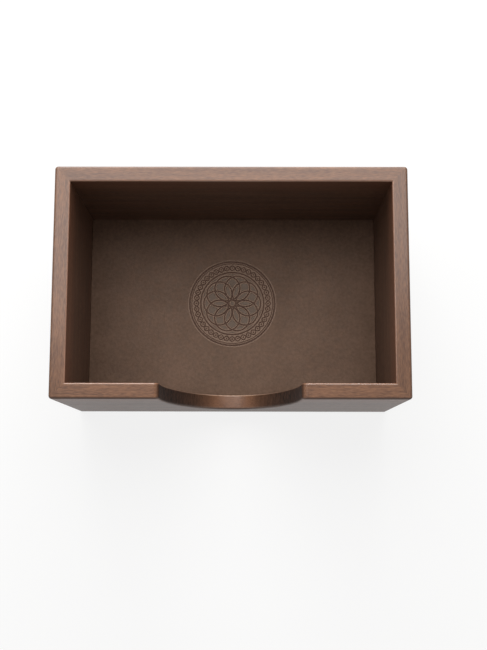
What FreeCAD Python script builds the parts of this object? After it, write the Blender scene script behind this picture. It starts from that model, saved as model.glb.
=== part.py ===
import FreeCAD, Part
import enum
import math
import os
import Sketcher

# A desk tray for business cards. Four mitred wooden walls stand round a floor board, which
# sits in a groove near their foot. A leather-covered pad lies on the board, a deep thumb
# notch opens the front wall, and felt covers the underside.
# Millimetres. +X runs along the front, +Y to the back and +Z up; the origin is the middle
# of the felt's underside.

SIZES = {
    # Room for the cards, inside the walls, and the walls themselves
    "well_length": 102.0,
    "well_width": 64.0,
    "wall_thickness": 5.0,
    "overall_height": 61.0,
    "corner_rounding": 1.0,
    "rim_outer_rounding": 0.8,
    "rim_inner_rounding": 0.5,
    # Thumb notch: half an ellipse, centred at rim level
    "notch_half_width": 22.0,
    "notch_lip": 0.5,
    "notch_shoulder": 2.0,
    # Floor board, with the tongue that the walls' groove takes
    "base_thickness": 9.0,
    "base_gap": 0.2,
    "tongue_thickness": 3.0,
    "tongue_rise": 3.0,
    "tongue_reach": 1.8,
    "groove_clearance": 0.1,
    # Pad: leather drawn over a stiff board and turned in underneath
    "leather_thickness": 0.8,
    "liner_board_thickness": 1.2,
    "liner_gap": 0.15,
    "leather_turn_in": 9.0,
    "pad_edge_rounding": 0.5,
    "pad_corner_rounding": 0.8,
    # Felt underneath
    "felt_thickness": 1.0,
    "felt_inset": 1.2,
    "felt_corner_rounding": 2.0,
    # Splines across the mitres, near the inside of each corner
    "spline_thickness": 1.2,
    "spline_width": 4.4,
    "spline_inset": 2.2,
    "spline_rise": 5.0,
    "spline_stop": 8.0,
    "spline_clearance": 0.05,
}

# Sizes that follow from the driving ones, written as expressions
OUTER_LENGTH = "(Sizes.well_length + 2 * Sizes.wall_thickness)"
OUTER_WIDTH = "(Sizes.well_width + 2 * Sizes.wall_thickness)"
WALL_HEIGHT = "(Sizes.overall_height - Sizes.felt_thickness)"
BASE_TOP = "(Sizes.felt_thickness + Sizes.base_thickness)"
PAD_THICKNESS = "(2 * Sizes.leather_thickness + Sizes.liner_board_thickness)"
FLOOR_LEVEL = f"({BASE_TOP} + {PAD_THICKNESS})"
NOTCH_DEPTH = f"(Sizes.overall_height - {FLOOR_LEVEL} - Sizes.notch_lip)"
PAD_LENGTH = "(Sizes.well_length - 2 * Sizes.liner_gap)"
PAD_WIDTH = "(Sizes.well_width - 2 * Sizes.liner_gap)"
LINER_BOARD_LENGTH = f"({PAD_LENGTH} - 2 * Sizes.leather_thickness)"
LINER_BOARD_WIDTH = f"({PAD_WIDTH} - 2 * Sizes.leather_thickness)"
SPLINE_FOOT = "(Sizes.tongue_rise + Sizes.tongue_thickness + Sizes.spline_rise)"
SPLINE_HEIGHT = f"({WALL_HEIGHT} - {SPLINE_FOOT} - Sizes.spline_stop)"
SPLINE_OFFSET = "(Sizes.spline_inset / sqrt(2))"

MITRE_ANGLE = 45
UPWARD = FreeCAD.Vector(0, 0, 1)

# How near two places are to count as one, when edges are picked
TOUCH = 1e-4


class Spot(enum.IntEnum):
    """Where on a sketched line or arc a constraint holds."""

    START = 1
    END = 2
    CENTRE = 3


class Axis(enum.IntEnum):
    """A sketch's own axes, as constraints name them."""

    HORIZONTAL = -1
    VERTICAL = -2


ORIGIN_POINT = (Axis.HORIZONTAL, Spot.START)


def make_sheet():
    """Write the driving dimensions into a sheet, one named cell each."""
    sheet = doc.addObject("Spreadsheet::Sheet", "Sizes")
    for row, (alias, size) in enumerate(SIZES.items(), start=1):
        sheet.set(f"A{row}", alias)
        sheet.set(f"B{row}", str(size))
        sheet.setAlias(f"B{row}", alias)
    doc.recompute()
    return sheet


def value(expression):
    """Give an expression's present value."""
    return float(sheet.evalExpression(expression))


def vector(horizontal, vertical):
    return FreeCAD.Vector(horizontal, vertical, 0)


def new_body(label):
    body = doc.addObject("PartDesign::Body", label)
    body.Label = label
    return body


def place(body, angle, x="0", y="0", z="0"):
    """Turn a body about the vertical and bind its place."""
    body.Placement = FreeCAD.Placement(FreeCAD.Vector(), FreeCAD.Rotation(UPWARD, angle))
    body.setExpression("Placement.Base.x", x)
    body.setExpression("Placement.Base.y", y)
    body.setExpression("Placement.Base.z", z)


def new_sketch(body, name, role, offset="0"):
    """Start a sketch on one of the body's own planes, moved along the plane's normal."""
    sketch = body.newObject("Sketcher::SketchObject", f"{body.Name}_{name}")
    plane = next(feature for feature in body.Origin.OriginFeatures if feature.Role == role)
    sketch.AttachmentSupport = (plane, [""])
    sketch.MapMode = "FlatFace"
    sketch.setExpression("AttachmentOffset.Base.z", offset)
    return sketch


def relate(sketch, kind, *geometry):
    sketch.addConstraint(Sketcher.Constraint(kind, *geometry))


def dimension(sketch, kind, geometry, expression):
    """Add a dimension and bind it."""
    index = sketch.addConstraint(Sketcher.Constraint(kind, *geometry, value(expression)))
    sketch.setExpression(f"Constraints[{index}]", expression)


def closed_outline(sketch, points):
    """Draw straight lines through the points and back, and give the first line's number."""
    first = sketch.GeometryCount
    count = len(points)
    for number, point in enumerate(points):
        sketch.addGeometry(Part.LineSegment(point, points[(number + 1) % count]))
    for number in range(count):
        relate(sketch, "Coincident", first + number, Spot.END, first + (number + 1) % count, Spot.START)
    return first


def centred_rectangle(sketch, length, width):
    """Draw a rectangle about the sketch's origin."""
    x = value(length) / 2
    y = value(width) / 2
    first = closed_outline(sketch, [vector(-x, -y), vector(x, -y), vector(x, y), vector(-x, y)])
    for number in (first, first + 2):
        relate(sketch, "Horizontal", number)
    for number in (first + 1, first + 3):
        relate(sketch, "Vertical", number)
    relate(sketch, "Symmetric", first, Spot.START, first + 2, Spot.START, *ORIGIN_POINT)
    dimension(sketch, "DistanceX", (first, Spot.START, first, Spot.END), length)
    dimension(sketch, "DistanceY", (first + 1, Spot.START, first + 1, Spot.END), width)


def pad(body, name, sketch, length):
    feature = body.newObject("PartDesign::Pad", f"{body.Name}_{name}")
    feature.Profile = sketch
    feature.setExpression("Length", length)


def pocket(body, name, sketch, length):
    """Cut upward from the sketch, by a bound depth."""
    feature = body.newObject("PartDesign::Pocket", f"{body.Name}_{name}")
    feature.Profile = sketch
    feature.setExpression("Length", length)
    feature.Reversed = True


def pocket_through(body, name, sketch):
    """Cut both ways from the sketch, through the whole piece."""
    feature = body.newObject("PartDesign::Pocket", f"{body.Name}_{name}")
    feature.Profile = sketch
    feature.SideType = "Symmetric"
    feature.Type = "ThroughAll"


def fillet(body, name, test, radius):
    """Round the edges of the body's last feature that pass the test."""
    doc.recompute()
    base = body.Tip
    names = [f"Edge{number}" for number, edge in enumerate(base.Shape.Edges, start=1) if test(edge)]
    feature = body.newObject("PartDesign::Fillet", f"{body.Name}_{name}")
    feature.Base = (base, names)
    feature.setExpression("Radius", radius)
    doc.recompute()


def is_vertical(edge):
    box = edge.BoundBox
    return box.XLength < TOUCH and box.YLength < TOUCH


def on_face(edge, depth):
    """Tell whether an edge lies wholly at one distance behind a wall's outer face."""
    box = edge.BoundBox
    return abs(box.YMin - depth) < TOUCH and abs(box.YMax - depth) < TOUCH


def is_level(edge, height):
    box = edge.BoundBox
    return abs(box.ZMin - height) < TOUCH and abs(box.ZMax - height) < TOUCH


# Each wall is drawn with its outer face on y = 0, its inner face behind it, its length
# centred on x = 0 and its foot at z = 0. It is then turned to its side of the tray.

def corner_arc(centre_x, radius, start, end):
    """Give the arc of a rounded outer corner, between two directions in degrees."""
    circle = Part.Circle(vector(centre_x, radius), UPWARD, radius)
    return Part.ArcOfCircle(circle, math.radians(start), math.radians(end))


def wall_footprint(body, outer_length):
    """Draw a wall seen from above: mitred at both ends, with its outer corners rounded."""
    half = value(outer_length) / 2
    wall = value("Sizes.wall_thickness")
    rounding = value("Sizes.corner_rounding")
    arc_rise = rounding * (1 - math.cos(math.radians(MITRE_ANGLE)))
    sketch = new_sketch(body, "footprint", "XY_Plane")
    right_corner = [
        vector(half - rounding, 0),
        vector(half - arc_rise, arc_rise),
        vector(half - wall, wall),
    ]
    left_corner = [vector(-point.x, point.y) for point in right_corner]
    face, right_arc, right_mitre, inside, left_mitre, left_arc = sketch.addGeometry([
        Part.LineSegment(left_corner[0], right_corner[0]),
        corner_arc(half - rounding, rounding, 270, 270 + MITRE_ANGLE),
        Part.LineSegment(right_corner[1], right_corner[2]),
        Part.LineSegment(right_corner[2], left_corner[2]),
        Part.LineSegment(left_corner[2], left_corner[1]),
        corner_arc(rounding - half, rounding, 270 - MITRE_ANGLE, 270),
    ])
    relate(sketch, "Tangent", face, Spot.END, right_arc, Spot.START)
    relate(sketch, "Tangent", left_arc, Spot.END, face, Spot.START)
    relate(sketch, "Coincident", right_arc, Spot.END, right_mitre, Spot.START)
    relate(sketch, "Coincident", right_mitre, Spot.END, inside, Spot.START)
    relate(sketch, "Coincident", inside, Spot.END, left_mitre, Spot.START)
    relate(sketch, "Coincident", left_mitre, Spot.END, left_arc, Spot.START)
    relate(sketch, "PointOnObject", right_arc, Spot.CENTRE, right_mitre)
    relate(sketch, "PointOnObject", left_arc, Spot.CENTRE, left_mitre)
    relate(sketch, "PointOnObject", face, Spot.START, Axis.HORIZONTAL)
    relate(sketch, "Symmetric", face, Spot.START, face, Spot.END, Axis.VERTICAL)
    relate(sketch, "Symmetric", inside, Spot.START, inside, Spot.END, Axis.VERTICAL)
    relate(sketch, "Perpendicular", right_mitre, left_mitre)
    dimension(sketch, "Radius", (right_arc,), "Sizes.corner_rounding")
    relate(sketch, "Equal", right_arc, left_arc)
    dimension(sketch, "DistanceY", (*ORIGIN_POINT, inside, Spot.END), "Sizes.wall_thickness")
    inner_length = f"{outer_length} - 2 * Sizes.wall_thickness"
    dimension(sketch, "DistanceX", (inside, Spot.END, inside, Spot.START), inner_length)
    return sketch


def spline_slot(sketch, side, outer_length):
    """Draw one end's slot: a rectangle square across the mitre. Side is 1 at +X, -1 at -X."""
    slant = math.cos(math.radians(MITRE_ANGLE))
    centre_x = f"({outer_length} / 2 - Sizes.wall_thickness + {SPLINE_OFFSET})"
    centre_y = f"(Sizes.wall_thickness - {SPLINE_OFFSET})"
    across = "(Sizes.spline_width + 2 * Sizes.spline_clearance)"
    along = "(Sizes.spline_thickness + 2 * Sizes.spline_clearance)"
    centre = vector(side * value(centre_x), value(centre_y))
    across_step = vector(side * slant, slant) * (value(across) / 2)
    along_step = vector(-side * slant, slant) * (value(along) / 2)
    first = closed_outline(sketch, [
        centre - across_step - along_step,
        centre + across_step - along_step,
        centre + across_step + along_step,
        centre - across_step + along_step,
    ])
    middle = sketch.addGeometry(Part.Point(centre), True)
    for number in range(first, first + 3):
        relate(sketch, "Perpendicular", number, number + 1)
    relate(sketch, "Symmetric", first, Spot.START, first + 2, Spot.START, middle, Spot.START)
    dimension(sketch, "Distance", (first,), across)
    dimension(sketch, "Distance", (first + 1,), along)
    reach = (*ORIGIN_POINT, middle, Spot.START) if side > 0 else (middle, Spot.START, *ORIGIN_POINT)
    dimension(sketch, "DistanceX", reach, centre_x)
    dimension(sketch, "DistanceY", (*ORIGIN_POINT, middle, Spot.START), centre_y)
    return first


def cut_spline_slots(body, outer_length):
    """Cut the blind slots that take half of a spline at each end."""
    foot = f"({SPLINE_FOOT} - Sizes.spline_clearance)"
    sketch = new_sketch(body, "spline_slots", "XY_Plane", foot)
    right = spline_slot(sketch, 1, outer_length)
    left = spline_slot(sketch, -1, outer_length)
    relate(sketch, "Perpendicular", right, left)
    relate(sketch, "Angle", right, math.radians(MITRE_ANGLE))
    pocket(body, "spline_slot_cut", sketch, f"{SPLINE_HEIGHT} + 2 * Sizes.spline_clearance")


def cut_groove(body):
    """Cut the groove that takes the floor board's tongue, through the wall's whole length."""
    sketch = new_sketch(body, "groove", "YZ_Plane")
    inner = value("Sizes.wall_thickness")
    bottom_level = "(Sizes.tongue_rise - Sizes.groove_clearance)"
    groove_depth = "(Sizes.tongue_reach + Sizes.groove_clearance)"
    groove_height = "(Sizes.tongue_thickness + 2 * Sizes.groove_clearance)"
    bottom = value(bottom_level)
    top = bottom + value(groove_height)
    back = inner - value(groove_depth)
    first = closed_outline(sketch, [
        vector(back, bottom), vector(inner, bottom), vector(inner, top), vector(back, top),
    ])
    for number in (first, first + 2):
        relate(sketch, "Horizontal", number)
    for number in (first + 1, first + 3):
        relate(sketch, "Vertical", number)
    dimension(sketch, "DistanceX", (*ORIGIN_POINT, first, Spot.END), "Sizes.wall_thickness")
    dimension(sketch, "DistanceX", (first, Spot.START, first, Spot.END), groove_depth)
    dimension(sketch, "DistanceY", (*ORIGIN_POINT, first, Spot.END), bottom_level)
    dimension(sketch, "DistanceY", (first + 1, Spot.START, first + 1, Spot.END), groove_height)
    pocket_through(body, "groove_cut", sketch)


def cut_notch(body):
    """Cut the thumb notch down to just above the pad, and round its shoulders."""
    sketch = new_sketch(body, "notch", "XZ_Plane")
    rim = value(WALL_HEIGHT)
    depth = value(NOTCH_DEPTH)
    half_width = value("Sizes.notch_half_width")
    centre = vector(0, rim)
    ellipse = sketch.addGeometry(Part.Ellipse(vector(0, rim + depth), vector(half_width, rim), centre))
    sketch.exposeInternalGeometry(ellipse)
    long_axis = ellipse + 1
    short_axis = ellipse + 2
    relate(sketch, "PointOnObject", ellipse, Spot.CENTRE, Axis.VERTICAL)
    relate(sketch, "Vertical", long_axis)
    dimension(sketch, "DistanceY", (*ORIGIN_POINT, ellipse, Spot.CENTRE), WALL_HEIGHT)
    dimension(sketch, "Distance", (long_axis,), f"2 * {NOTCH_DEPTH}")
    dimension(sketch, "Distance", (short_axis,), "2 * Sizes.notch_half_width")
    pocket_through(body, "notch_cut", sketch)

    def is_shoulder(edge):
        box = edge.BoundBox
        return is_level(edge, rim) and box.XLength < TOUCH and abs(abs(box.XMin) - half_width) < TOUCH

    fillet(body, "shoulder_rounding", is_shoulder, "Sizes.notch_shoulder")


def round_rim(body):
    """Round the rim's outer and inner edges, and the notch's with them."""
    wall = value("Sizes.wall_thickness")
    corner = value("Sizes.corner_rounding")
    rim = value(WALL_HEIGHT)
    groove_top = value("Sizes.tongue_rise + Sizes.tongue_thickness + Sizes.groove_clearance")

    def is_outer(edge):
        box = edge.BoundBox
        at_corner = is_level(edge, rim) and box.YMax < corner and box.XLength > TOUCH
        return at_corner or (on_face(edge, 0) and not is_vertical(edge) and box.ZMin > groove_top)

    def is_inner(edge):
        return on_face(edge, wall) and not is_vertical(edge) and edge.BoundBox.ZMin > groove_top

    fillet(body, "rim_outer", is_outer, "Sizes.rim_outer_rounding")
    fillet(body, "rim_inner", is_inner, "Sizes.rim_inner_rounding")


def make_wall(label, outer_length, angle, x, y, notched=False):
    body = new_body(label)
    pad(body, "blank", wall_footprint(body, outer_length), WALL_HEIGHT)
    cut_groove(body)
    cut_spline_slots(body, outer_length)
    if notched:
        cut_notch(body)
    round_rim(body)
    place(body, angle, x, y, "Sizes.felt_thickness")
    return body


def make_base_board():
    """The floor board: a slab inside the walls, with a tongue all round."""
    body = new_body("base_board")
    slab = new_sketch(body, "slab", "XY_Plane")
    centred_rectangle(
        slab,
        "Sizes.well_length - 2 * Sizes.base_gap",
        "Sizes.well_width - 2 * Sizes.base_gap",
    )
    pad(body, "slab_pad", slab, "Sizes.base_thickness")
    tongue = new_sketch(body, "tongue", "XY_Plane", "Sizes.tongue_rise")
    centred_rectangle(
        tongue,
        "Sizes.well_length + 2 * Sizes.tongue_reach",
        "Sizes.well_width + 2 * Sizes.tongue_reach",
    )
    pad(body, "tongue_pad", tongue, "Sizes.tongue_thickness")
    place(body, 0, z="Sizes.felt_thickness")
    return body


def make_liner_board():
    """The stiff board inside the pad."""
    body = new_body("liner_board")
    outline = new_sketch(body, "outline", "XY_Plane")
    centred_rectangle(outline, LINER_BOARD_LENGTH, LINER_BOARD_WIDTH)
    pad(body, "board", outline, "Sizes.liner_board_thickness")
    place(body, 0, z=f"{BASE_TOP} + Sizes.leather_thickness")
    return body


def make_liner_leather():
    """The pad's leather: top, four sides, and the turn-in glued under the board's edges."""
    body = new_body("liner_leather")
    outline = new_sketch(body, "outline", "XY_Plane")
    centred_rectangle(outline, PAD_LENGTH, PAD_WIDTH)
    pad(body, "skin", outline, PAD_THICKNESS)
    fillet(body, "corner_rounding", is_vertical, "Sizes.pad_corner_rounding")
    top = value(PAD_THICKNESS)
    fillet(body, "edge_rounding", lambda edge: is_level(edge, top), "Sizes.pad_edge_rounding")
    cavity = new_sketch(body, "cavity", "XY_Plane", "Sizes.leather_thickness")
    centred_rectangle(cavity, LINER_BOARD_LENGTH, LINER_BOARD_WIDTH)
    pocket(body, "cavity_cut", cavity, "Sizes.liner_board_thickness")
    opening = new_sketch(body, "turn_in", "XY_Plane")
    centred_rectangle(
        opening,
        f"{LINER_BOARD_LENGTH} - 2 * Sizes.leather_turn_in",
        f"{LINER_BOARD_WIDTH} - 2 * Sizes.leather_turn_in",
    )
    pocket(body, "turn_in_cut", opening, "Sizes.leather_thickness")
    place(body, 0, z=BASE_TOP)
    return body


def make_base_felt():
    """The felt under the tray, set in from the walls' outer faces."""
    body = new_body("base_felt")
    outline = new_sketch(body, "outline", "XY_Plane")
    centred_rectangle(
        outline,
        f"{OUTER_LENGTH} - 2 * Sizes.felt_inset",
        f"{OUTER_WIDTH} - 2 * Sizes.felt_inset",
    )
    pad(body, "sheet", outline, "Sizes.felt_thickness")
    fillet(body, "corner_rounding", is_vertical, "Sizes.felt_corner_rounding")
    return body


def make_spline(label, side_x, side_y):
    """A flat strip set square across one mitre, half in each wall."""
    body = new_body(label)
    section = new_sketch(body, "section", "XY_Plane")
    centred_rectangle(section, "Sizes.spline_thickness", "Sizes.spline_width")
    pad(body, "strip", section, SPLINE_HEIGHT)
    place(
        body,
        MITRE_ANGLE * side_x * side_y,
        f"{side_x} * (Sizes.well_length / 2 + {SPLINE_OFFSET})",
        f"{side_y} * (Sizes.well_width / 2 + {SPLINE_OFFSET})",
        f"Sizes.felt_thickness + {SPLINE_FOOT}",
    )
    return body


def check_and_export(bodies):
    """Stop on anything that failed to build, then write each piece to its own file."""
    doc.recompute()
    for item in doc.Objects:
        if "Invalid" in item.State or "Error" in item.State:
            raise RuntimeError(f"{item.Name} did not build: {item.State}")
    for body in bodies:
        if body.Shape.isNull() or not body.Shape.isValid() or len(body.Shape.Solids) != 1:
            raise RuntimeError(f"{body.Label} is not one valid solid")
    os.makedirs("parts", exist_ok=True)
    for body in bodies:
        body.Shape.exportStep(f"parts/{body.Label}.step")
        box = body.Shape.BoundBox
        low = f"({box.XMin:.2f}, {box.YMin:.2f}, {box.ZMin:.2f})"
        high = f"({box.XMax:.2f}, {box.YMax:.2f}, {box.ZMax:.2f})"
        print(f"{body.Label}: {body.Shape.Volume:.1f} cubic mm, {low} to {high}")


doc = FreeCAD.newDocument("card_holder")
sheet = make_sheet()
pieces = [
    make_wall("front_wall", OUTER_LENGTH, 0, "0", f"-{OUTER_WIDTH} / 2", notched=True),
    make_wall("back_wall", OUTER_LENGTH, 180, "0", f"{OUTER_WIDTH} / 2"),
    make_wall("left_wall", OUTER_WIDTH, -90, f"-{OUTER_LENGTH} / 2", "0"),
    make_wall("right_wall", OUTER_WIDTH, 90, f"{OUTER_LENGTH} / 2", "0"),
    make_base_board(),
    make_liner_board(),
    make_liner_leather(),
    make_base_felt(),
]
for depth_name, side_y in (("front", -1), ("back", 1)):
    for side_name, side_x in (("left", -1), ("right", 1)):
        pieces.append(make_spline(f"spline_{depth_name}_{side_name}", side_x, side_y))
check_and_export(pieces)
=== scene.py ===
import math

import bpy
import numpy as np
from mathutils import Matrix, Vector


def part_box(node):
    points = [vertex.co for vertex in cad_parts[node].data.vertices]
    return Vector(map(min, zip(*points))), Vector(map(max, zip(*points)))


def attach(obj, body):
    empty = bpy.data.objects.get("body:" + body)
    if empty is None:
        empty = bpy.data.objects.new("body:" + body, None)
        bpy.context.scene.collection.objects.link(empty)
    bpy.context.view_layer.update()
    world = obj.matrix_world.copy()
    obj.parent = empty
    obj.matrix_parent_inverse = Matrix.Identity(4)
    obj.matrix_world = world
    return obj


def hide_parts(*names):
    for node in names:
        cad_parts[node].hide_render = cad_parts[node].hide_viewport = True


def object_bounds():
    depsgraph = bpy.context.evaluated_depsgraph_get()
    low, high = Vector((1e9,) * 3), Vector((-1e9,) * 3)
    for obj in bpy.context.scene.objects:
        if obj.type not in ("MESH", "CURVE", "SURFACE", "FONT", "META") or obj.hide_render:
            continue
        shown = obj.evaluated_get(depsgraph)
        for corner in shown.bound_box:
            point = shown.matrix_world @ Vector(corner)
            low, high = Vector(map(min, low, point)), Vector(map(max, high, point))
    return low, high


# The looks of a desk tray for business cards: lacquered wooden walls, a leather pad with a
# pressed medallion, and felt underneath. Metres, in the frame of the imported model: +X runs
# along the front, +Y to the back and +Z up.

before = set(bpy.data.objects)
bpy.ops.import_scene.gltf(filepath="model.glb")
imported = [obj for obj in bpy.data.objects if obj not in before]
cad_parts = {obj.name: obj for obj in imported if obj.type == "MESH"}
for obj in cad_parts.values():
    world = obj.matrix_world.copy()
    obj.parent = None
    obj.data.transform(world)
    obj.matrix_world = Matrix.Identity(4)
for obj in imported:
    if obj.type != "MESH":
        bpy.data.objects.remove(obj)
cad_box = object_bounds()

MM = 0.001

# What is kept where two surfaces would meet or a corner would close
HAIR = 0.02 * MM
# Points nearer to each other than this are one
TOLERANCE = 0.001 * MM
# Edges that turn by more than this look sharp
SHARP = math.radians(40)

# Each wall's grain, how light its rim and its faces are, and how much painted shade its outer
# edge carries. The shades are partly each board's own tone and partly painted light and shade:
# the back wall's faces are painted darker for the shade on its inner face, and the left wall's
# rim lighter and the right wall's darker for light that falls from the left.
WALLS = {
    "front_wall": ("X", 1.12, 1.12, 0.8),
    "back_wall": ("X", 1.02, 0.90, 0.1),
    "left_wall": ("Y", 1.04, 1.04, 0.1),
    "right_wall": ("Y", 0.93, 0.93, 0.1),
}
EDGE_BREAK = 0.07 * MM
SPLINES = ["spline_front_left", "spline_front_right", "spline_back_left", "spline_back_right"]

# The wood's grains, with the length and the width of their features, and how far one wall's
# grain lies from the next one's
GRAINS = {
    "broad": (45 * MM, 2.6 * MM),
    "streak": (9 * MM, 0.7 * MM),
    "fibre": (1.9 * MM, 0.22 * MM),
    "pore": (1.6 * MM, 0.16 * MM),
    "layer": (2.4 * MM, 0.8 * MM),
}
GRAIN_SHIFT = (0.37, 0.71, 0.53)

# The wood's colours: stains, and painted light and shade. A wall's own shades lighten or darken
# all but those of the cut grain.
WOOD_COLOURS = {
    "rim_dark": (0.087, 0.0343, 0.0146),
    "rim_light": (0.185, 0.082, 0.038),
    "face_dark": (0.043, 0.0205, 0.012),
    "face_light": (0.136, 0.070, 0.0438),
    # Painted light on the faces just below the rim
    "face_lit": (0.173, 0.070, 0.038),
    "cut_dark": (0.005, 0.002, 0.001),
    "cut_light": (0.054, 0.025, 0.015),
    "pore": (0.064, 0.0257, 0.0122),
    # Painted highlight on the inner edges and the bottom of the notch
    "wear_and_highlight": (0.33, 0.18, 0.12),
    # Painted highlight on the notch's inner edge
    "notch_edge_highlight": (0.62, 0.42, 0.30),
    # Painted shade on the outer edges
    "outer_edge_shade": (0.050, 0.022, 0.013),
}

# Painted light grows from one height to another, and from one share to another: up the faces
# to the rim, and down the notch to its bottom, where it is a painted highlight
TOP = cad_box[1].z
UPPER_FACE_LIGHT = (TOP - 15 * MM, TOP - 1 * MM, 0.0, 0.57)
NOTCH_HIGHLIGHT = (TOP - 26 * MM, TOP - 47 * MM, 0.0, 0.3)

# How far from the tray's middle an edge has to be to count fully as an inner or outer one
EDGE_REACH = 15 * MM

# The pad's leather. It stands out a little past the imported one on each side, and is turned in
# below. Steps count the points along its outline, and shares place the rings of its face.
LEATHER_THICKNESS = 0.8 * MM
LEATHER_OVERSIZE = 0.12 * MM
LEATHER_CORNER = 0.8 * MM
LEATHER_ROUNDING = 0.15 * MM
LEATHER_STEPS = (51, 8, 85)
FACE_SHARES = (0.12, 0.28, 0.5, 0.75)
TURN_IN = 9 * MM
HIDE_DARK = (0.106, 0.059, 0.0345)
HIDE_LIGHT = (0.180, 0.105, 0.068)

# The marks that the die left in the leather, in the order in which their colours go over each
# other: how deep they are, in millimetres, and their colour. The lip stands up, and its lighter
# colour is a painted highlight.
MARKS = {
    "ground": (0.10, (0.148, 0.106, 0.078)),
    "lip": (-0.05, (0.30, 0.20, 0.145)),
    "line": (0.24, (0.070, 0.033, 0.021)),
}
MARK_STRENGTH = 0.85

# The medallion, in millimetres about its own middle. A ring line has its radius and width.
MEDALLION_PLACE = (-0.2 * MM, 1.0 * MM)
MEDALLION_REACH = 16.3
MEDALLION_RINGS = 125
RING_LINES = ((15.2, 0.5), (14.5, 0.25), (11.3, 0.4))
BRAID_RADIUS = 12.9
BRAID_SWING = 0.85
BRAID_WAVES = 20
BRAID_LINE = 0.32
BEAD = 0.5
GROUND_RADIUS = 10.7
PETALS = 10
PETAL_REACH = 5.7
PETAL_RADIUS = 4.5
PETAL_LINE = 0.36
LIP = 0.35
SLOPE = 0.20

# The felt. Its faces have rings at these insets, and its edge is worn by up to this share.
FELT_CORNER = 2 * MM
FELT_ROUNDING = 0.35 * MM
FELT_STEPS = (52, 10, 82)
FELT_INSETS = (12 * MM, 4 * MM, 1 * MM)
FELT_WEAR = 0.002

# The camera's place in millimetres, and its turns in degrees
CAMERA_LENS = 56.63
CAMERA_PLACE = Vector((5.10, -60.70, 374.58))
CAMERA_TURN = (8.473, 0.182, 0.118)

# The softboxes' places, sizes and powers, and the point that they face
SOFTBOXES = {
    "overhead": ((-0.024, 0.170, 0.384), (0.462, 0.267), 1.33),
    "behind": ((-0.023, 0.328, 0.199), (0.28, 0.20), 1.37),
}
LIT_POINT = Vector((0, 0, 0.04))
AMBIENT = 0.235

FLOOR_REACH = 3.0
FLOOR_WHITENESS = 0.84
WHITE = (1, 1, 1, 1)


# Shader building

class Shader:
    """The nodes of a material or a world, with its surface shader at hand."""

    def __init__(self, block, surface="Principled BSDF"):
        block.use_nodes = True
        self.block = block
        self.tree = block.node_tree
        self.surface = self.tree.nodes[surface]

    def feed(self, socket, source):
        """Link a socket to another's output, or set it."""
        if isinstance(source, bpy.types.NodeSocket):
            self.tree.links.new(source, socket)
        else:
            socket.default_value = source

    def node(self, kind, inputs=None, **settings):
        """Add a node, set it up, and feed its inputs, by name or number."""
        node = self.tree.nodes.new(f"ShaderNode{kind}")
        for name, setting in settings.items():
            setattr(node, name, setting)
        for name, source in (inputs or {}).items():
            self.feed(node.inputs[name], source)
        return node

    def set(self, **inputs):
        """Feed the surface shader's inputs, underscores standing for spaces."""
        for name, source in inputs.items():
            self.feed(self.surface.inputs[name.replace("_", " ")], source)

    def place(self, scale=(1, 1, 1), shift=(0, 0, 0)):
        """Give the object's own coordinates, scaled and shifted."""
        coordinates = self.node("TexCoord").outputs["Object"]
        moved = self.node("Mapping", {"Vector": coordinates, "Scale": scale, "Location": shift})
        return moved.outputs["Vector"]

    def axes(self, vector):
        """Give a vector's parts, by the names of their axes."""
        return self.node("SeparateXYZ", {0: vector}).outputs

    def noise(self, vector, scale=1.0, detail=3.0, roughness=0.5, distortion=0.0):
        """Give a noise's value, from 0 to 1."""
        inputs = {
            "Vector": vector,
            "Scale": scale,
            "Detail": detail,
            "Roughness": roughness,
            "Distortion": distortion,
        }
        return self.node("TexNoise", inputs).outputs[0]

    def speckle(self, size, **settings):
        """Give a noise whose features have about this size."""
        return self.noise(self.place(), 1 / size, **settings)

    def grain(self, axis, along, across, shift=(0, 0, 0), **settings):
        """Give a noise stretched along one axis, its features about this long and wide."""
        scale = tuple(1 / along if name == axis else 1 / across for name in "XYZ")
        return self.noise(self.place(scale, shift), **settings)

    def remap(self, source, low, high, to_low=0.0, to_high=1.0):
        """Stretch the values from low to high over another range, and hold them there."""
        names = ("Value", "From Min", "From Max", "To Min", "To Max")
        inputs = dict(zip(names, (source, low, high, to_low, to_high)))
        return self.node("MapRange", inputs).outputs[0]

    def maths(self, operation, *sources):
        return self.node("Math", dict(enumerate(sources)), operation=operation).outputs[0]

    def times(self, first, second):
        return self.maths("MULTIPLY", first, second)

    def mixed(self, *parts):
        """Add up pairs of a value and its weight."""
        total = 0.0
        for source, weight in parts:
            total = self.maths("MULTIPLY_ADD", source, weight, total)
        return total

    def blend(self, share, first, second):
        """Mix two colours, each a socket or its red, green and blue."""
        inputs = {0: share}
        for place, source in ((6, first), (7, second)):
            inputs[place] = source if isinstance(source, bpy.types.NodeSocket) else (*source, 1)
        return self.node("Mix", inputs, data_type="RGBA").outputs[2]

    def bump(self, height, distance, strength):
        inputs = {"Height": height, "Distance": distance, "Strength": strength}
        return self.node("Bump", inputs).outputs[0]

    def unlit(self, *kinds):
        """Give 1 for the kinds of ray that see a surface and don't light others by it."""
        path = self.node("LightPath")
        seen = path.outputs[f"Is {kinds[0]} Ray"]
        for kind in kinds[1:]:
            seen = self.maths("MAXIMUM", seen, path.outputs[f"Is {kind} Ray"])
        return seen


def new_material(name):
    return Shader(bpy.data.materials.new(name))


# Materials

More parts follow.
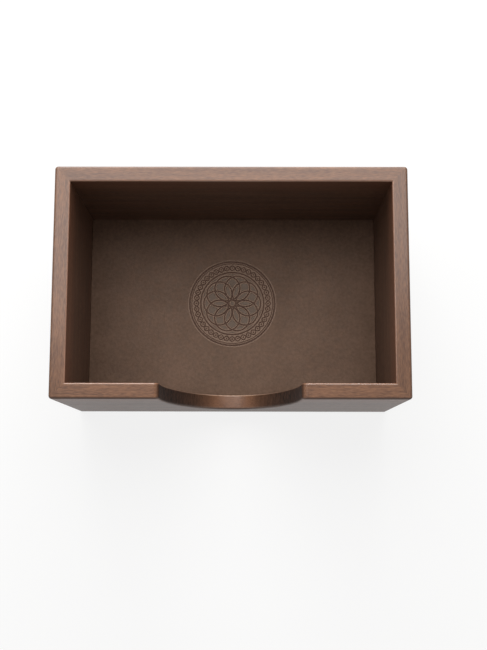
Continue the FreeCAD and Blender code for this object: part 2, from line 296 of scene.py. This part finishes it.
def wall_zones(shader, axis, side, outer_edge_shade):
    """Tell a wall's zones apart by where a point is and which way it faces.

    The shares are those of the rim, of the cut grain, of the inner edge, worn smoother and with a
    painted highlight, of the outer edge, with painted shade, of the faces just below the rim, with
    painted light, and of the notch's bottom, with a painted highlight.
    """
    place = shader.axes(shader.place())
    normal = shader.axes(shader.node("NewGeometry").outputs["Normal"])
    upward, aside, endward = (shader.maths("ABSOLUTE", normal[name]) for name in ("Z", side, axis))
    outward = shader.times(place[side], normal[side])
    edge = shader.remap(shader.times(aside, upward), 0.12, 0.45)
    rim = shader.remap(upward, 0.2, 0.8)
    cut = shader.remap(endward, 0.52, 0.98)
    # The inner edge: worn smoother, and with a painted highlight on it
    wear_and_highlight = shader.times(edge, shader.remap(outward, 0.0, -EDGE_REACH))
    # Painted shade on the outer edge, strongest on the front wall
    dark = shader.times(edge, shader.remap(outward, 0.0, EDGE_REACH, 0.0, outer_edge_shade))
    # Painted light: the faces are lighter towards the rim
    upper_face_light = shader.remap(place["Z"], *UPPER_FACE_LIGHT)
    # Painted highlight, growing down the notch to its bottom
    notch_highlight = shader.remap(place["Z"], *NOTCH_HIGHLIGHT)
    return rim, cut, wear_and_highlight, dark, upper_face_light, notch_highlight


def lacquered_wood(name, axis, rim_shade, face_shade, outer_edge_shade, seed):
    """Dark brown stained wood under satin lacquer, its grain along one axis.

    Where the grain is cut across, the stain goes in deeper, the growth layers show as fine
    lines and the lacquer is duller. The rim is smoother than the faces, and its inner edge
    smoother still. The inner edge, the notch's bottom and the notch's inner edge have painted
    highlights, the faces just below the rim painted light, and the outer edge painted shade.
    """
    shader = new_material(name)
    side = "XY".replace(axis, "")
    rim, cut, wear_and_highlight, dark, upper_face_light, notch_highlight = wall_zones(shader, axis, side, outer_edge_shade)

    shift = tuple(seed * step for step in GRAIN_SHIFT)
    broad = shader.grain(axis, *GRAINS["broad"], shift, detail=2.0)
    streak = shader.grain(axis, *GRAINS["streak"], shift, distortion=0.25)
    fibre = shader.grain(axis, *GRAINS["fibre"], shift)
    hole = shader.grain(axis, *GRAINS["pore"], shift, detail=1.0)
    layer = shader.grain(side, *GRAINS["layer"], shift, roughness=0.7)
    depth = shader.remap(shader.mixed((broad, 0.24), (streak, 0.24), (fibre, 0.52)), 0.40, 0.60)
    pore = shader.remap(hole, 0.62, 0.70)

    # A wall's colour of one kind, stains and painted light and shade alike, times the wall's shade
    def stain(kind, shade=rim_shade):
        return tuple(shade * part for part in WOOD_COLOURS[kind])

    top = shader.blend(depth, stain("rim_dark"), stain("rim_light"))
    # Painted highlight on the bottom of the notch
    top = shader.blend(notch_highlight, top, stain("wear_and_highlight"))
    face = shader.blend(depth, stain("face_dark", face_shade), stain("face_light", face_shade))
    # Painted light on the faces just below the rim
    face = shader.blend(upper_face_light, face, stain("face_lit", face_shade))
    colour = shader.blend(rim, face, top)
    shares = {
        "pore": shader.times(pore, 0.45),
        # Painted highlight on the inner edge
        "wear_and_highlight": shader.times(wear_and_highlight, 0.6),
        # Painted highlight on the notch's inner edge
        "notch_edge_highlight": shader.times(wear_and_highlight, shader.times(notch_highlight, 2.5)),
        # Painted shade on the outer edge
        "outer_edge_shade": dark,
    }
    for kind, share in shares.items():
        colour = shader.blend(share, colour, stain(kind))
    layered = shader.remap(layer, 0.40, 0.62)
    across = shader.blend(layered, WOOD_COLOURS["cut_dark"], WOOD_COLOURS["cut_light"])
    matt = shader.remap(streak, 0.3, 0.7, 0.49, 0.59)
    shader.set(
        Base_Color=shader.blend(cut, colour, across),
        Roughness=shader.mixed((rim, -0.19), (wear_and_highlight, -0.10), (cut, 0.30), (matt, 1.0)),
        Specular_IOR_Level=0.21,
        Coat_Weight=shader.mixed((rim, 0.35), (wear_and_highlight, 0.30), (cut, -0.23), (1.0, 0.23)),
        Coat_Roughness=0.23,
        Normal=shader.bump(shader.mixed((fibre, 0.5), (pore, -0.6)), 0.02 * MM, 0.6),
    )
    return shader.block


def raw_wood(name, dark, light):
    """Unfinished wood or fibreboard, for pieces inside."""
    shader = new_material(name)
    grain = shader.grain("Z", 12 * MM, 0.7 * MM)
    shader.set(
        Base_Color=shader.blend(shader.remap(grain, 0.3, 0.7), dark, light),
        Roughness=0.85,
        Normal=shader.bump(grain, 0.03 * MM, 0.5),
    )
    return shader.block


def plain_board(name, dark, light):
    """Flecked pasteboard, inside the pad."""
    shader = new_material(name)
    fleck = shader.remap(shader.speckle(0.5 * MM), 0.3, 0.7)
    shader.set(Base_Color=shader.blend(fleck, dark, light), Roughness=0.9)
    return shader.block


def pressed_leather(name):
    """Brown leather with a fine grain, its colour changed where the die pressed it, and painted
    highlights on its lips.
    """
    shader = new_material(name)
    cloud = shader.speckle(14 * MM)
    mottle = shader.speckle(2.2 * MM, roughness=0.6)
    fleck = shader.speckle(1.0 * MM, roughness=0.6)
    share = shader.remap(shader.mixed((cloud, 0.3), (mottle, 0.3), (fleck, 0.4)), 0.37, 0.63)
    hide = shader.blend(share, HIDE_DARK, HIDE_LIGHT)
    for mark, (_, tint) in MARKS.items():
        pressed = shader.node("Attribute", attribute_name=mark).outputs["Fac"]
        hide = shader.blend(shader.times(pressed, MARK_STRENGTH), hide, tint)
    pebbles = {"Vector": shader.place(), "Scale": 1 / (0.42 * MM)}
    cells = shader.node("TexVoronoi", pebbles, feature="SMOOTH_F1").outputs["Distance"]
    wrinkle = shader.speckle(0.9 * MM, detail=4.0, roughness=0.6)
    shader.set(
        Base_Color=hide,
        Specular_IOR_Level=0.3,
        Roughness=shader.remap(mottle, 0.3, 0.7, 0.55, 0.68),
        Normal=shader.bump(shader.mixed((cells, -0.6), (wrinkle, 0.7)), 0.05 * MM, 0.7),
    )
    return shader.block


def felt_cloth(name, dark, light):
    """Felt with a matted, fibrous face."""
    shader = new_material(name)
    mat = shader.speckle(1.3 * MM, detail=5.0, roughness=0.7, distortion=1.5)
    fibres = shader.speckle(0.25 * MM, roughness=0.7, distortion=2.5)
    share = shader.mixed((mat, 0.5), (fibres, 0.5))
    shader.set(
        Base_Color=shader.blend(shader.remap(share, 0.35, 0.65), dark, light),
        Roughness=0.95,
        Sheen_Weight=0.5,
        Sheen_Roughness=0.5,
        Normal=shader.bump(share, 0.12 * MM, 0.8),
    )
    return shader.block


# Stage, light and camera

def make_camera():
    """Put the camera where the photograph was taken, above and a little in front."""
    data = bpy.data.cameras.new("camera")
    data.lens = CAMERA_LENS
    data.clip_start = 10 * MM
    camera = bpy.data.objects.new("camera", data)
    camera.location = CAMERA_PLACE * MM
    camera.rotation_euler = [math.radians(angle) for angle in CAMERA_TURN]
    bpy.context.collection.objects.link(camera)
    bpy.context.scene.camera = camera


def make_floor():
    """A wide white table top that looks near white, with the tray's soft shadow on it."""
    ends = ((-1, -1), (1, -1), (1, 1), (-1, 1))
    corners = [(x * FLOOR_REACH, y * FLOOR_REACH, -HAIR) for x, y in ends]
    mesh = bpy.data.meshes.new("floor")
    mesh.from_pydata(corners, [], [(0, 1, 2, 3)])
    floor = bpy.data.objects.new("floor", mesh)
    bpy.context.collection.objects.link(floor)
    shader = new_material("table")
    shader.set(Base_Color=(0.92, 0.91, 0.89, 1), Roughness=0.9)
    white = shader.node("Emission", {"Color": WHITE, "Strength": 1.0}).outputs[0]
    share = shader.times(shader.unlit("Camera", "Glossy", "Transmission"), FLOOR_WHITENESS)
    table = shader.node("MixShader", {0: share, 1: shader.surface.outputs[0], 2: white})
    shader.feed(shader.tree.nodes["Material Output"].inputs["Surface"], table.outputs[0])
    mesh.materials.append(shader.block)


def make_world():
    """Faint even surroundings, which look white themselves."""
    world = bpy.data.worlds.new("studio")
    bpy.context.scene.world = world
    shader = Shader(world, "Background")
    seen = shader.unlit("Camera", "Glossy", "Transmission")
    shader.set(Color=WHITE, Strength=shader.remap(seen, 0.0, 1.0, AMBIENT, 1.0))


def make_softbox(name, place, size, power):
    """Add a soft rectangular lamp that faces the tray."""
    data = bpy.data.lights.new(name, "AREA")
    data.shape = "RECTANGLE"
    data.size, data.size_y = size
    data.energy = power
    lamp = bpy.data.objects.new(name, data)
    lamp.location = place
    lamp.rotation_euler = (LIT_POINT - Vector(place)).to_track_quat("-Z", "Y").to_euler()
    lamp.visible_camera = False
    bpy.context.collection.objects.link(lamp)


# Pieces

def dress(node, material):
    """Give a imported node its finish."""
    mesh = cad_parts[node].data
    mesh.materials.clear()
    mesh.materials.append(material)


def break_edges(node):
    """Soften a packed wall's sharp edges a hair, as sanding does, so that the mitres show."""
    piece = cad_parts[node]
    weld = piece.modifiers.new("weld", "WELD")
    weld.merge_threshold = TOLERANCE
    bevel = piece.modifiers.new("edge_break", "BEVEL")
    bevel.width = EDGE_BREAK
    bevel.segments = 2
    bevel.limit_method = "ANGLE"
    bevel.angle_limit = SHARP
    normals = piece.modifiers.new("normals", "WEIGHTED_NORMAL")
    normals.keep_sharp = True


class Outline:
    """A rounded rectangle about the Z axis. A ring set in from it keeps the same points."""

    def __init__(self, reach, corner, steps):
        """steps counts the parts of a quarter: up its end, round the corner, along its side."""
        self.half = np.array(reach[:2])
        self.corner = corner
        self.steps = steps
        self.count = 4 * sum(steps)

    def ring(self, inset, level):
        """Give the points of a ring, anticlockwise from +X."""
        half = self.half - inset
        corner = max(self.corner - inset, HAIR)
        up, turn, along = self.steps
        rise = np.arange(up) / up * (half[1] - corner)
        end = np.column_stack([np.full(up, half[0]), rise])
        angles = np.arange(turn) / turn * math.pi / 2
        bend = half - corner + corner * np.column_stack([np.cos(angles), np.sin(angles)])
        run = (1 - np.arange(along + 1) / along) * (half[0] - corner)
        side = np.column_stack([run, np.full(along + 1, half[1])])
        quarter = np.vstack([end, bend, side])
        upper = np.vstack([quarter, (quarter * (-1, 1))[-2::-1]])
        around = np.vstack([upper, (upper * (1, -1))[-2:0:-1]])
        return np.column_stack([around, np.full(self.count, level)])

    def rings(self, insets, level):
        """Give rings on one level."""
        return [self.ring(inset, level) for inset in insets]


def rounded_edge(rounding, low, high, steps=5):
    """Give insets and levels from a sheet's top face round its edge to the underside."""
    turns = [math.pi / 2 * step / steps for step in range(steps + 1)]
    upper = [(rounding * (1 - math.sin(a)), high - rounding * (1 - math.cos(a))) for a in turns]
    lower = [(inset, low + high - level) for inset, level in reversed(upper)]
    return upper + lower


def closed_mesh(name, rings):
    """Make a smooth closed mesh from rings of points, with a fan in the first and the last."""
    count = len(rings[0])
    here = np.arange(count)
    after = (here + 1) % count
    inner = np.arange(len(rings) - 1)[:, None] * count
    outer = inner + count
    quads = np.stack([inner + here, outer + here, outer + after, inner + after], -1)
    points = np.vstack([*rings, rings[0].mean(axis=0), rings[-1].mean(axis=0)])
    top, bottom = len(points) - 2, len(points) - 1
    last = count * (len(rings) - 1)
    pairs = list(zip(here.tolist(), after.tolist()))
    fans = [(top, a, b) for a, b in pairs]
    fans += [(last + a, bottom, last + b) for a, b in pairs]
    mesh = bpy.data.meshes.new(name)
    mesh.from_pydata(points.tolist(), [], quads.reshape(-1, 4).tolist() + fans)
    mesh.shade_smooth()
    mesh.set_sharp_from_angle(angle=SHARP)
    return mesh


def add_piece(name, mesh, material, node):
    """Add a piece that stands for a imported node."""
    piece = bpy.data.objects.new(name, mesh)
    bpy.context.collection.objects.link(piece)
    mesh.materials.append(material)
    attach(piece, "root")
    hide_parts(node)
    return piece


def inside(gap):
    """Give 1 inside a shape, falling smoothly to 0 across the slope at its edge."""
    share = np.clip(0.5 - gap / SLOPE, 0, 1)
    return share * share * (3 - 2 * share)


def medallion(x, y):
    """Give the shares of line, of lip beside a line, painted as a highlight, and of pressed
    ground.

    Rings hold a braid of two waving strands with a bead in each eye. Inside them, a rosette of
    interlaced circles is drawn on the pressed ground.
    """
    reach = np.hypot(x, y)
    turn = np.arctan2(y, x)
    gaps = [np.abs(reach - radius) - width / 2 for radius, width in RING_LINES]
    steepness = BRAID_SWING * BRAID_WAVES * np.sin(BRAID_WAVES * turn) / np.maximum(reach, 1)
    for side in (-1, 1):
        strand = BRAID_RADIUS + side * BRAID_SWING * np.cos(BRAID_WAVES * turn)
        gaps.append(np.abs(reach - strand) / np.hypot(1, steepness) - BRAID_LINE / 2)
    pitch = math.pi / BRAID_WAVES
    aside = (turn - np.round(turn / pitch) * pitch) * BRAID_RADIUS
    gaps.append(np.hypot(reach - BRAID_RADIUS, aside) - BEAD / 2)
    for petal in range(PETALS):
        angle = 2 * math.pi * petal / PETALS
        beside = np.hypot(x - PETAL_REACH * math.cos(angle), y - PETAL_REACH * math.sin(angle))
        gaps.append(np.abs(beside - PETAL_RADIUS) - PETAL_LINE / 2)
    gap = np.min(gaps, axis=0)
    line = inside(gap)
    # The lip beside a line, which the finish paints as a highlight
    lip = inside(gap - LIP) - line
    ground = inside(reach - GROUND_RADIUS) * (1 - line - lip)
    return {"line": line, "lip": lip, "ground": ground}


def leather_rings(middle, low, reach):
    """Give the leather's rings: round the medallion, over the edge, and turned in below."""
    outline = Outline(reach, LEATHER_CORNER, LEATHER_STEPS)
    angles = np.arange(outline.count) / outline.count * 2 * math.pi
    circle = np.column_stack([np.cos(angles), np.sin(angles), np.zeros(outline.count)])
    radii = np.linspace(0, MEDALLION_REACH, MEDALLION_RINGS + 1)[1:]
    rings = [middle + circle * radius * MM for radius in radii]
    edge = rounded_edge(LEATHER_ROUNDING, low.z + HAIR, reach.z)
    outer = outline.ring(*edge[0])
    rings += [rings[-1] * (1 - share) + outer * share for share in FACE_SHARES]
    thickness = LEATHER_THICKNESS - HAIR
    turned = [
        (TURN_IN, low.z + HAIR),
        (TURN_IN, low.z + thickness),
        (thickness, low.z + thickness),
        (thickness, reach.z - thickness),
    ]
    return rings + [outline.ring(inset, level) for inset, level in edge + turned]


def press(mesh, middle):
    """Press the medallion into a mesh's face, and keep its marks' shares for the finish."""
    places = np.zeros(len(mesh.vertices) * 3)
    mesh.vertices.foreach_get("co", places)
    places = places.reshape(-1, 3)
    on_face = places[:, 2] > middle[2] - TOLERANCE
    for mark, share in medallion(*((places - middle)[:, :2].T / MM)).items():
        depth, _ = MARKS[mark]
        layer = mesh.attributes.new(mark, "FLOAT", "POINT")
        layer.data.foreach_set("value", (share * on_face).astype(np.float32))
        places[:, 2] -= on_face * share * depth * MM
    mesh.vertices.foreach_set("co", places.ravel())
    mesh.update()


def make_leather(material):
    """Draw the leather over its board, and press the medallion into it."""
    node = "liner_leather"
    low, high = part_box(node)
    reach = high + Vector((1, 1, 0)) * LEATHER_OVERSIZE
    middle = np.array([*MEDALLION_PLACE, high.z])
    mesh = closed_mesh(node, leather_rings(middle, low, reach))
    press(mesh, middle)

    piece = add_piece("pad_leather", mesh, material, node)


def make_felt(material):
    """Lay the felt under the tray, its cut edge a little worn and uneven."""
    node = "base_felt"
    low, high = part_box(node)
    outline = Outline(high, FELT_CORNER, FELT_STEPS)
    edge = rounded_edge(FELT_ROUNDING, low.z, high.z - HAIR, steps=3)
    draws = np.random.default_rng(5)
    rings = outline.rings(FELT_INSETS, edge[0][1])
    for inset, level in edge:
        ring = outline.ring(inset, level)
        ring[:, :2] *= 1 - FELT_WEAR * draws.random((outline.count, 1))
        rings.append(ring)
    rings += outline.rings(reversed(FELT_INSETS), edge[-1][1])
    piece = add_piece("felt_base", closed_mesh(node, rings), material, node)


make_camera()
make_floor()
make_world()
for softbox, settings in SOFTBOXES.items():
    make_softbox(softbox, *settings)

for number, (wall, looks) in enumerate(WALLS.items()):
    dress(wall, lacquered_wood(f"wood_{wall}", *looks, number))
    break_edges(wall)
dress("base_board", raw_wood("fibreboard", (0.30, 0.20, 0.12), (0.40, 0.28, 0.18)))
dress("liner_board", plain_board("pasteboard", (0.36, 0.31, 0.25), (0.46, 0.41, 0.34)))
spline_wood = raw_wood("pale_wood", (0.38, 0.25, 0.14), (0.50, 0.34, 0.21))
for spline in SPLINES:
    dress(spline, spline_wood)
make_leather(pressed_leather("leather"))
make_felt(felt_cloth("felt", (0.012, 0.009, 0.008), (0.040, 0.030, 0.025)))

bpy.context.scene.view_settings.view_transform = "Standard"
